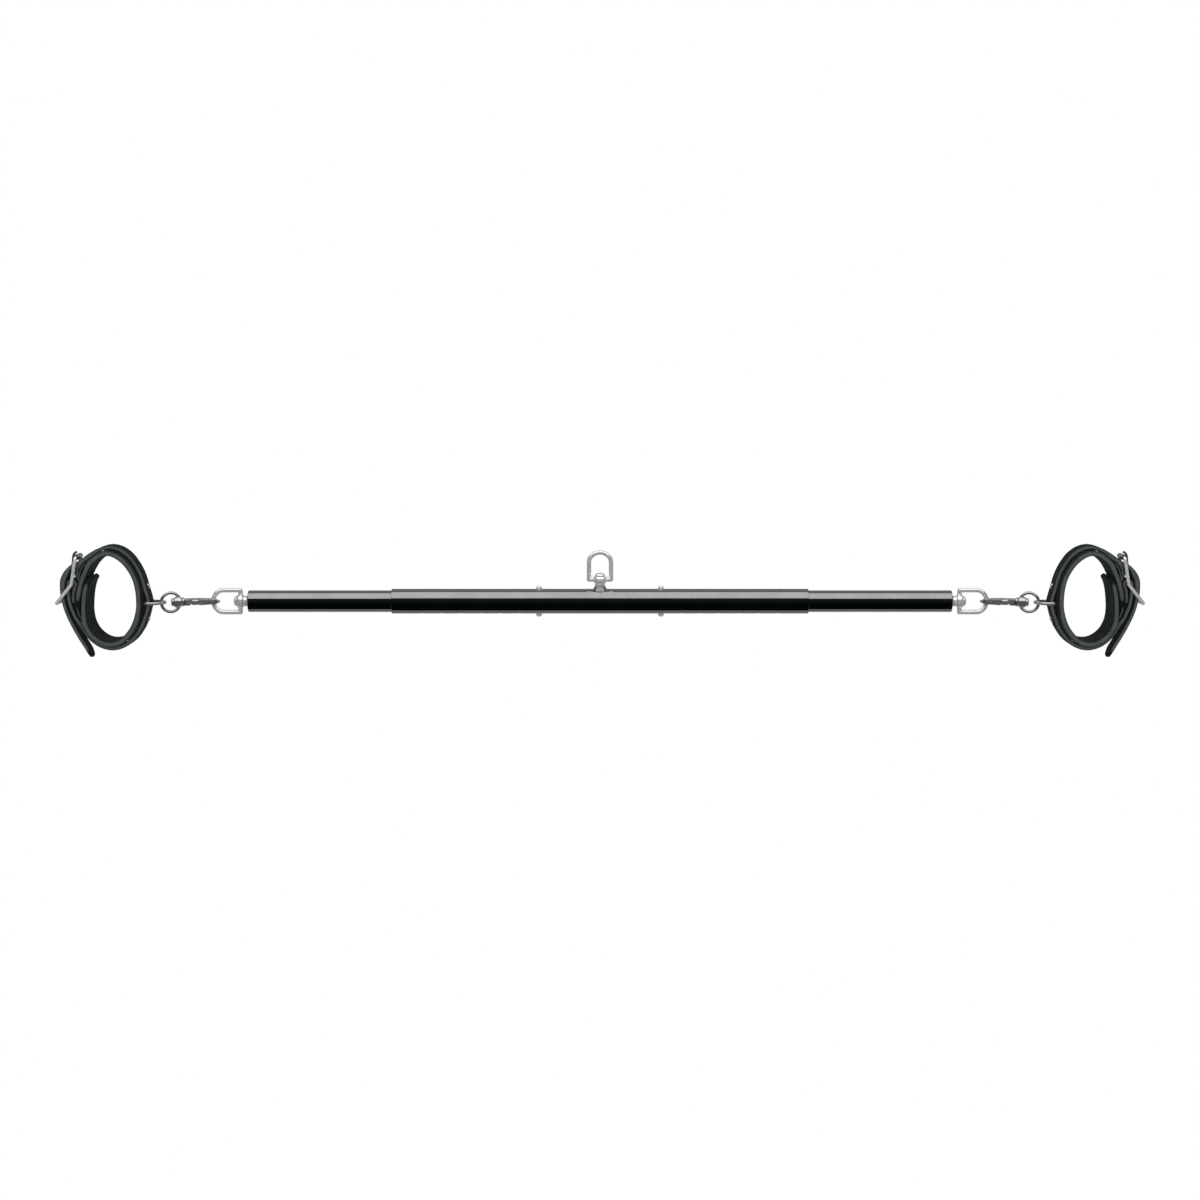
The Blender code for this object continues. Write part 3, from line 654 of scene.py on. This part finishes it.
saddle = raw("saddle_fine", lathe([(9.0, 0), (9.0, 8.35), (10.0, 8.3), (11.0, 8.0), (12.0, 7.4),
                                   (13.0, 6.8), (14.0, 6.2), (14.9, 5.9), (15.3, 5.5), (15.3, 0)],
                                  (0, 0, AXIS_Z), (0, 1, 0), 64))
boolean(saddle, rod((0, 0, AXIS_Z), (1, 0, 0), -30, 30, OUTER_R + 0.15, 128), "DIFFERENCE")
# The saddle gets the painted-shade copy of the nickel.
finish(saddle, "bar", "bright_metal", PAINTED_SHADE_NICKEL, "centre_saddle")
hub0 = (0, CENTRE_HUB_Y, AXIS_Z)
stud("centre_stud_fine", hub0, (0, 1, 0), False, "bar", "centre_stud")
eye("centre_eye_fine", hub0, (0, 1, 0), (1, 0, 0), "centre_eye", "centre_eye")


def hook_half(u):
    return HOOK_W0 + (HOOK_W1 - HOOK_W0) * min(1.0, max(0.0, (u + 2.0) / 16.0))


def point_nose(ob):
    """Narrows the claw towards its far end, so that the nose is pointed from above."""
    for v in ob.data.vertices:
        u = abs(v.co.x) / MM if v.co.x * side > 0 else -abs(v.co.x) / MM
        v.co.y *= 1.0 - 0.74 * min(1.0, max(0.0, -u / 6.85)) ** 1.6


def catmull_closed(points, per):
    pts = [Vector(p) for p in points]
    n = len(pts)
    out = []
    for i in range(n):
        p0, p1, p2, p3 = pts[i - 1], pts[i], pts[(i + 1) % n], pts[(i + 2) % n]
        for k in range(per):
            t = k / per
            out.append(0.5 * ((2 * p1) + (p2 - p0) * t + (2 * p0 - 5 * p1 + 4 * p2 - p3) * t * t
                              + (3 * p1 - p0 - 3 * p2 + p3) * t ** 3))
    return out


for side, tag in ((-1, "left"), (1, "right")):
    axis = (side, 0, 0)
    inner = "inner_" + tag
    hook_body = "hook_" + tag
    cuff = "cuff_" + tag

    tube("inner_tube_fine_" + tag, INNER_IN, INNER_OUT, INNER_BORE_R, INNER_R, side, [BUTTON_X],
         inner, "inner_tube_" + tag, 1.1)
    hub = (side * END_HUB_X, 0, AXIS_Z)
    stud("end_stud_fine_" + tag, hub, axis, True, inner, "end_stud_" + tag)
    eye("end_eye_fine_" + tag, hub, axis, (0, 1, 0), "eye_" + tag, "end_eye_" + tag)

    for up, word in ((1, "upper"), (-1, "lower")):
        prof = [(7.6, 0), (7.6, 4.2), (8.6, 4.2), (8.6, BUTTON_R), (13.6, BUTTON_R)]
        prof += [(13.6 + 2.25 * math.sin(w), BUTTON_R * math.cos(w) ** 0.8)
                 for w in (math.pi / 2 * k / 10 for k in range(1, 10))]
        prof += [(BUTTON_TOP - 0.04, 0)]
        finish(raw("button_fine_%s_%s" % (word, tag),
                   lathe(prof, (side * BUTTON_X, 0, AXIS_Z), (0, up, 0), 40)),
               "button_%s_%s" % (word, tag), "bright_metal", BRIGHT,
               "button_%s_%s" % (word, tag), angle=45)

    # Snap hook
    c = HOOK_CLAW_C
    outline = [(HOOK_NECK_U - 1.2, -4.2), (30.5, -4.5), (29.4, -5.3), (28.2, -6.4), (26.8, -7.7),
               (25.2, -8.6), (23.6, -9.05), (21.5, -HOOK_OUT_R)]
    outline += [(21.5 - (21.5 - c) * k / 6, -HOOK_OUT_R) for k in range(1, 6)]
    outline += arc(c, 0, HOOK_OUT_R, HOOK_OUT_R, -90, -270, 36)
    outline += [(7.0, 9.2), (12.0, 9.15), (15.6, 9.0), (15.9, 8.6), (13.9, 5.3), (13.4, HOOK_IN_R)]
    outline += arc(c, 0, HOOK_IN_R, HOOK_IN_R, 90, 270, 24)
    outline += [(c + (22.5 - c) * k / 4, -HOOK_IN_R) for k in range(1, 4)]
    outline += arc(22.5, -1.0, 4.0, 4.0, -90, 0, 8)
    outline += [(26.5, 1.0), (26.5, 2.0)]
    outline += arc(GATE_PIN[0], GATE_PIN[1], 3.6, 3.6, 248, 90, 18)
    outline += [(28.8, 9.75), (29.9, 8.8), (30.8, 7.2), (31.2, 5.6), (HOOK_NECK_U - 1.2, 4.4)]
    ob = raw("snap_hook_fine_" + tag, plate(outline, hook_half, side))
    bevel(ob, 1.85, 6, 50)
    point_nose(ob)
    flange = [(29.6, 0), (29.6, 4.2), (29.9, 4.5), (30.4, 4.6), (31.6, 4.6), (32.0, 4.45),
              (HOOK_NECK_U, 4.1), (HOOK_NECK_U, 0)]
    boolean(ob, lathe(flange, (0, 0, 0), axis, 40), "UNION")
    boolean(ob, box(side * 22.0, side * 30.9, -1.8, 1.8, 1.4, 12.0), "DIFFERENCE")
    boolean(ob, rod((side * GATE_PIN[0], 0, GATE_PIN[1]), (0, 1, 0), -6, 6, GATE_PIN_R + 0.12, 20),
            "DIFFERENCE")
    ob.data.transform(Matrix.Translation(Vector((side * EYE_X, 0, AXIS_Z)) * MM)
                      @ Matrix.Rotation(-side * SLOPE, 4, "Y"))
    finish(ob, hook_body, "dark_metal", DARK, "snap_hook_" + tag, angle=35)

    gate_line = [(16.5, 8.9), (19, 9.0), (22.7, 9.0), (25.0, 9.0)]
    gate_line += arc(GATE_PIN[0], GATE_PIN[1], 2.55, 2.55, 90, -90, 14)
    gate_line += [(25.0, 4.1), (22.7, 4.6), (18.0, 4.8), (14.3, 5.05)]
    ob = raw("snap_gate_fine_" + tag, plate(gate_line, lambda u: 2.75, side))
    bevel(ob, 1.5, 5, 50)
    for y0, y1 in ((1.45, 5), (-5, -1.45)):
        boolean(ob, box(side * 22.7, side * 32, y0, y1, 0, 14), "DIFFERENCE")
    boolean(ob, rod((side * GATE_PIN[0], 0, GATE_PIN[1]), (0, 1, 0), -6, 6, GATE_PIN_R + 0.12, 20),
            "DIFFERENCE")
    ob.data.transform(Matrix.Translation(Vector((side * EYE_X, 0, AXIS_Z)) * MM)
                      @ Matrix.Rotation(-side * SLOPE, 4, "Y"))
    finish(ob, "gate_" + tag, "dark_metal", DARK, "snap_gate_" + tag, angle=35)

    pin = lathe([(-3.0, 0), (-3.0, 0.6), (-2.8, GATE_PIN_R), (2.8, GATE_PIN_R), (3.0, 0.6),
                 (3.0, 0)], (side * GATE_PIN[0], 0, GATE_PIN[1]), (0, 1, 0), 20)
    finish(raw("gate_pin_fine_" + tag, tilt(pin, side)), hook_body, "steel", STEEL,
           "gate_pin_" + tag)

    rivet = [(32.5, 0), (32.5, RIVET_R), (40.8, RIVET_R), (40.8, 3.8), (41.0, 4.0), (42.2, 4.0),
             (42.7, 3.8), (43.0, 3.3), (43.15, 2.2), (43.2, 0)]
    finish(raw("swivel_rivet_fine_" + tag, tilt(lathe(rivet, (0, 0, 0), axis, 36), side)),
           hook_body, "dark_metal", DARK, "swivel_rivet_" + tag)

    ring_pts = [(side * (RING_C + x), y, 0) for x, y in arc(0, 0, RING_R, RING_R, 0, 360, 72)[:-1]]
    ob = raw("swivel_ring_fine_" + tag, sweep(ring_pts, circle(RING_WIRE, 18), True))
    rhub = [(32.5, 0), (32.5, 4.3), (32.8, 4.8), (33.6, 5.5), (34.4, 5.8), (36.8, 5.8), (37.6, 5.6),
            (39.4, 5.0), (40.2, 4.7), (40.5, 4.4), (40.5, 0)]
    boolean(ob, lathe(rhub, (0, 0, 0), axis, 40), "UNION")
    bevel(ob, 0.3, 2, 28)
    boolean(ob, rod((0, 0, 0), axis, 28, 45, RIVET_R + 0.25, 24), "DIFFERENCE")
    ob.data.transform(Matrix.Translation(Vector((side * EYE_X, 0, AXIS_Z)) * MM)
                      @ Matrix.Rotation(-side * SLOPE, 4, "Y"))
    finish(ob, "ring_" + tag, "dark_metal", DARK, "swivel_ring_" + tag)

    # D-ring
    c = 2.2
    line = arc(D_ARC, 0, D_HALF, D_HALF, 90, 270, 48)
    line += [(D_ARC + 0.8, -D_HALF)]
    line += arc(D_BAR - c, -D_HALF + c, c, c, -90, 0, 8)
    line += [(D_BAR, -D_HALF + c + (2 * D_HALF - 2 * c) * k / 10) for k in range(1, 10)]
    line += arc(D_BAR - c, D_HALF - c, c, c, 0, 90, 8)
    line += [(D_ARC + 0.8, D_HALF)]
    ob = raw("d_ring_fine_" + tag, sweep([(side * x, 0, D_Z + z) for x, z in line],
                                         circle(D_WIRE, 18), True))
    finish(ob, "d_ring_" + tag, "dark_metal", DARK, "d_ring_" + tag)

    # Cuff band
    band_line = smooth_line(BAND_LINE, 1.6)
    loop = arc(MIDBAR[0], MIDBAR[1], STRAP_LOOP_R, STRAP_LOOP_R, 180, 0, 12)
    fine = smooth_line(STRAP_IN + [loop[0]], 1.4)[:-1] + [Vector(p) for p in loop]
    fine += smooth_line([loop[-1]] + STRAP_OUT, 1.4)[1:]
    strap_line = even(fine, 1.4)
    touch = (BAND_T + STRAP_T) / 2
    wrap = [p for p in strap_line[40:] if (p - Vector((499, 5))).length < 62]
    ob = raw("cuff_band_soft_" + tag,
             soft_strip(band_line, BAND_T, D_Z, BAND_W, side, (15.0, 15.0), edge_seg=8,
                        flat_seg=22, crown=0.12, ripple=0.22,
                        grow=snug(band_line, wrap, touch, 1.9)))
    boolean(ob, merge([rod((side * x, y, D_Z), (side * nx, ny, 0), -6, 14, 1.45, 16)
                       for _, (x, y), (nx, ny), _ in RIVETS]), "DIFFERENCE")
    finish(ob, cuff, "leather", LEATHER, "cuff_band_" + tag, angle=60)

    # Strap with its fold, slot and punched holes
    ob = raw("strap_soft_" + tag,
             soft_strip(strap_line, STRAP_T - 0.1, D_Z, STRAP_W - 0.2, side, (2.5, 12.0),
                        edge_seg=8, flat_seg=12, crown=0.1, ripple=0.1,
                        grow=snug(strap_line, band_line, touch, 1.9)))
    for word, ends, points in (
            ("middle", (3.0, 3.0), [(530.2, 22.0), (530.8, 28.0), (530.6, 33.6), (528.2, 38.8),
                                    (523.0, 43.8)]),
            ("inner", (6.0, 8.0), [(526.4, -19.0), (529.4, -12.5), (531.4, -5.5), (532.3, 0.5),
                                   (532.1, 6.0), (531.3, 12.0), (529.8, 18.0), (529.2, 25.0),
                                   (528.4, 31.0), (526.0, 37.0), (520.5, 44.2)]),
            ("outer", (3.0, 3.0), [(531.4, 24.8), (532.6, 29.0), (533.3, 33.8), (531.0, 38.2),
                                   (525.6, 42.4)])):
        piece = raw("buckle_tab_%s_%s" % (word, tag),
                    soft_strip(smooth_line(points, 1.2), 2.1, D_Z, STRAP_W - 1.0, side, ends,
                               edge_seg=6, flat_seg=10, ripple=0.1))
        finish(piece, cuff, "leather", STRAP_LEATHER, angle=60)
    run = lengths(strap_line)
    tan = tangents(strap_line)
    at = min(range(len(strap_line) // 2, len(strap_line)),
             key=lambda i: (strap_line[i] - Vector((537.9, 37.0))).length)
    slots = [box(side * 530.0, side * 543.4, 13.4, 27.0, D_Z - 1.7, D_Z + 1.7)]
    punched = []
    for k in (-2, -1, 1, 2, 3, 4):
        i = min(range(len(run)), key=lambda j: abs(run[j] - (run[at] + 15.0 * k)))
        p, t = strap_line[i], tan[i]
        punched.append((p, t))
        slots.append(rod((side * p.x, p.y, D_Z), (side * -t.y, t.x, 0), -2.4, 2.4, 1.9, 20))
    slots.append(rod((side * 537.6, 7.0, D_Z), (1, 0, 0), -4.6, 4.6, 1.4, 16))
    for _, (x, y), (nx, ny), _ in RIVETS:
        slots.append(rod((side * x, y, D_Z), (side * nx, ny, 0), -3.2, 3.2, 1.4, 16))
    boolean(ob, merge(slots), "DIFFERENCE")
    boolean(ob, box(side * 535.6, side * 542.9, 25.0, 42.0, D_Z - 1.9, D_Z + 1.9), "DIFFERENCE")
    finish(ob, cuff, "leather", STRAP_LEATHER, "strap_" + tag, angle=60)

    for word, (x, y), (nx, ny), back in RIVETS:
        prof = [(-3.55, 0), (-3.52, 0.8), (-3.4, 1.5), (-3.15, 2.2), (-2.8, 2.7), (-2.4, 2.95),
                (-2.1, 3.0), (-2.0, 2.9), (-2.0, 1.2), (back, 1.2), (back, 2.8), (back + 0.15, 3.0),
                (back + 0.5, 3.0), (back + 0.7, 2.7), (back + 0.7, 0)]
        finish(raw("strap_rivet_fine_%s_%s" % (word, tag),
                   lathe(prof, (side * x, y, D_Z), (side * nx, ny, 0), 32)), cuff,
               "bright_metal", DARK, "strap_rivet_%s_%s" % (word, tag))
    prof = [(532.5, 0), (532.5, 2.4), (532.7, 2.6), (533.1, 2.6), (533.1, 1.2), (542.2, 1.2),
            (542.2, 2.6), (542.45, 2.6), (542.75, 2.3), (543.0, 1.5), (543.1, 0)]
    finish(raw("buckle_rivet_fine_" + tag, lathe(prof, (0, 7.0, D_Z), axis, 28)), cuff,
           "bright_metal", BRIGHT, "buckle_rivet_" + tag)

    # Buckle
    def corner(p, q, r, cut, steps=7):
        p, q, r = Vector(p), Vector(q), Vector(r)
        a = q + (p - q).normalized() * cut
        b = q + (r - q).normalized() * cut
        return [(a.lerp(q, t)).lerp(q.lerp(b, t), t) for t in (k / steps for k in range(steps + 1))]

    z0, z1 = D_Z - BUCKLE_HALF, D_Z + BUCKLE_HALF
    ring6 = [(*ROLLER, z0), (*ROLLER, z1), (*MIDBAR, z1), (*LOWBAR, z1), (*LOWBAR, z0),
             (*MIDBAR, z0)]
    path = []
    for k, q in enumerate(ring6):
        path += corner(ring6[k - 1], q, ring6[(k + 1) % 6], 3.2 if k not in (2, 5) else 2.0)
    full = []
    for k, p in enumerate(path):
        q = path[(k + 1) % len(path)]
        full.append(p)
        gap = (q - p).length
        extra = int(gap / 2.5)
        full += [p.lerp(q, (m + 1) / (extra + 1)) for m in range(extra)]
    ob = raw("buckle_frame_fine_" + tag,
             sweep([(side * p.x, p.y, p.z) for p in full], circle(BUCKLE_WIRE, 20), True,
                   [1.0 + 0.04 * min(1.0, max(0.0, abs(p.z - D_Z) - BUCKLE_HALF + 2.0) / 1.9)
                    for p in full]))
    boolean(ob, rod((side * MIDBAR[0], MIDBAR[1], D_Z), (0, 0, 1), -BUCKLE_HALF, BUCKLE_HALF,
                    BUCKLE_WIRE - 0.05, 20), "UNION")
    bevel(ob, 0.25, 2, 28)
    # The buckle frame gets the painted-highlight copy of the dark nickel.
    finish(ob, cuff, "dark_metal", PAINTED_HIGHLIGHT_NICKEL, "buckle_frame_" + tag)
    prof = [(-12.3, BUCKLE_WIRE + 0.35), (-12.3, ROLLER_R - 0.25), (-12.05, ROLLER_R),
            (12.05, ROLLER_R), (12.3, ROLLER_R - 0.25), (12.3, BUCKLE_WIRE + 0.35)]
    # The roller gets the painted-shade copy of the nickel.
    finish(raw("buckle_roller_fine_" + tag,
               lathe(prof, (side * ROLLER[0], ROLLER[1], D_Z), (0, 0, 1), 36, hollow=True)),
           "roller_" + tag, "dark_metal", PAINTED_SHADE_NICKEL, "buckle_roller_" + tag)
    mx, my = MIDBAR
    prong = [(533.2, 51.9), (535.2, 50.6), (536.6, 48.0), (537.2, 43.0), (538.4, 32.0),
             (539.5, 23.0)]
    prong = [tuple(p) for p in smooth_line(prong + arc(mx, my, PRONG_LOOP, PRONG_LOOP, 10, -250,
                                                       10)[:2], 0.9)]
    prong += arc(mx, my, PRONG_LOOP, PRONG_LOOP, -16, -250, 30)
    pts, sc = dome_ends([(side * x, y, D_Z) for x, y in prong], PRONG_R * 0.6, 4)
    # The prong gets the painted-shade copy of the nickel.
    finish(raw("buckle_prong_fine_" + tag, sweep(pts, circle(PRONG_R, 16), False, sc)),
           "prong_" + tag, "dark_metal", PAINTED_SHADE_NICKEL, "buckle_prong_" + tag)

    # The two curved leaves of each spring clip
    for up, word in ((1, "upper"), (-1, "lower")):
        leaf = [(BUTTON_X - 3, 7.0), (BUTTON_X + 4, 6.8), (BUTTON_X + 20, 4.4),
                (BUTTON_X + 31, 2.4), (BUTTON_X + 34, 0.02)]
        line = [Vector((p.x, up * p.y)) for p in smooth_line(leaf, 1.0)]
        ob = raw("spring_leaf_%s_%s" % (word, tag),
                 soft_strip(line, 0.6, AXIS_Z, 6.0, side, (1.0, 0.1), edge_seg=4, flat_seg=3))
        ob.data.shade_smooth()
        ob.data.materials.append(STEEL)
        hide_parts("spring_clip_" + tag)
        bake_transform(ob)

    for node, mat in (("end_plug_", PLASTIC), ("gate_spring_", STEEL)):
        ob = NODES[node + tag]
        ob.data.materials.clear()
        ob.data.materials.append(mat)


# ------------------------------------------------------------------ stage
def seen_white(nt, surround, output):
    """White to the camera, and the studio's own brightness to everything else."""
    path = nt.nodes.new("ShaderNodeLightPath")
    mix = nt.nodes.new("ShaderNodeMixShader")
    nt.links.new(path.outputs["Is Camera Ray"], mix.inputs["Fac"])
    nt.links.new(surround, mix.inputs[1])
    white = nt.nodes.new("ShaderNodeEmission")
    white.inputs["Color"].default_value = (1, 1, 1, 1)
    nt.links.new(white.outputs["Emission"], mix.inputs[2])
    nt.links.new(mix.outputs["Shader"], output.inputs["Surface"])


bm = bmesh.new()
bmesh.ops.create_circle(bm, cap_ends=True, segments=64, radius=6.0)
floor = raw("floor", bm)
floor.location.z = -0.26
mat = bpy.data.materials.new("floor_pale")
mat.use_nodes = True
nt = mat.node_tree
nt.nodes.clear()
out = nt.nodes.new("ShaderNodeOutputMaterial")
em = nt.nodes.new("ShaderNodeEmission")
em.inputs["Color"].default_value = (1.0, 1.0, 1.0, 1.0)
em.inputs["Strength"].default_value = 0.34
low = nt.nodes.new("ShaderNodeEmission")
low.inputs["Color"].default_value = (1.0, 1.0, 1.0, 1.0)
low.inputs["Strength"].default_value = 0.05
path = nt.nodes.new("ShaderNodeLightPath")
mix = nt.nodes.new("ShaderNodeMixShader")
nt.links.new(path.outputs["Is Diffuse Ray"], mix.inputs["Fac"])
nt.links.new(em.outputs["Emission"], mix.inputs[1])
nt.links.new(low.outputs["Emission"], mix.inputs[2])
seen_white(nt, mix.outputs["Shader"], out)
floor.data.materials.append(mat)

world = bpy.data.worlds.new("studio")
bpy.context.scene.world = world
world.use_nodes = True
nt = world.node_tree
nt.nodes.clear()
out = nt.nodes.new("ShaderNodeOutputWorld")
bg_dark = nt.nodes.new("ShaderNodeBackground")
heading = nt.nodes.new("ShaderNodeTexCoord")
parts = nt.nodes.new("ShaderNodeSeparateXYZ")
nt.links.new(heading.outputs["Generated"], parts.inputs["Vector"])
glow = nt.nodes.new("ShaderNodeMapRange")
for socket, value in (("From Min", -0.35), ("From Max", 0.5), ("To Min", 0.0), ("To Max", 1.0)):
    glow.inputs[socket].default_value = value
nt.links.new(parts.outputs["Y"], glow.inputs["Value"])
nt.links.new(ramp(nt, glow.outputs["Result"], [(0.0, (0.003, 0.006, 0.0055)),
                                               (0.55, (0.014, 0.020, 0.019)),
                                               (0.62, (0.030, 0.034, 0.033)),
                                               (0.70, (0.016, 0.020, 0.019)),
                                               (1.0, (0.038, 0.040, 0.040))]),
             bg_dark.inputs["Color"])
bg_light = nt.nodes.new("ShaderNodeBackground")
bg_light.inputs["Color"].default_value = (0.04, 0.042, 0.042, 1)
path = nt.nodes.new("ShaderNodeLightPath")
mix = nt.nodes.new("ShaderNodeMixShader")
nt.links.new(path.outputs["Is Glossy Ray"], mix.inputs["Fac"])
nt.links.new(bg_light.outputs["Background"], mix.inputs[1])
nt.links.new(bg_dark.outputs["Background"], mix.inputs[2])
seen_white(nt, mix.outputs["Shader"], out)


def area(name, size, energy, location, target, glossy=True, diffuse=True):
    light = bpy.data.lights.new(name, "AREA")
    light.shape = "RECTANGLE"
    light.size, light.size_y = size
    light.energy = energy
    ob = bpy.data.objects.new(name, light)
    bpy.context.scene.collection.objects.link(ob)
    ob.location = location
    ob.rotation_euler = (Vector(target) - Vector(location)).to_track_quat("-Z", "Y").to_euler()
    ob.visible_glossy = glossy
    ob.visible_diffuse = diffuse
    ob.visible_camera = False
    return ob


area("softbox_back", (4.4, 2.35), 41.0, (0, 1.7, 0.78), (0, 0, 0.0), diffuse=False)
area("fill_top", (3.0, 3.0), 165.0, (0, 0.3, 3.0), (0, 0, 0), glossy=False)

# ------------------------------------------------------------------ camera
cam = bpy.data.cameras.new("camera")
cam.sensor_width = 36.0
cam.lens = 81.9
cam.clip_end = 50.0
camera = bpy.data.objects.new("camera", cam)
bpy.context.scene.collection.objects.link(camera)
tilt_angle = math.radians(5.6)
target = Vector((0.0, 0.0012, AXIS_Z * MM))
camera.location = target + Vector((0, math.sin(tilt_angle), math.cos(tilt_angle))) * 2.8
back = (camera.location - target).normalized()
right = Vector((1, 0, 0))
up = back.cross(right).normalized()
camera.matrix_world = Matrix((
    (right.x, up.x, back.x, camera.location.x),
    (right.y, up.y, back.y, camera.location.y),
    (right.z, up.z, back.z, camera.location.z),
    (0, 0, 0, 1)))
bpy.context.scene.camera = camera
bpy.context.scene.view_settings.view_transform = "Standard"
bpy.context.scene.view_settings.look = "None"
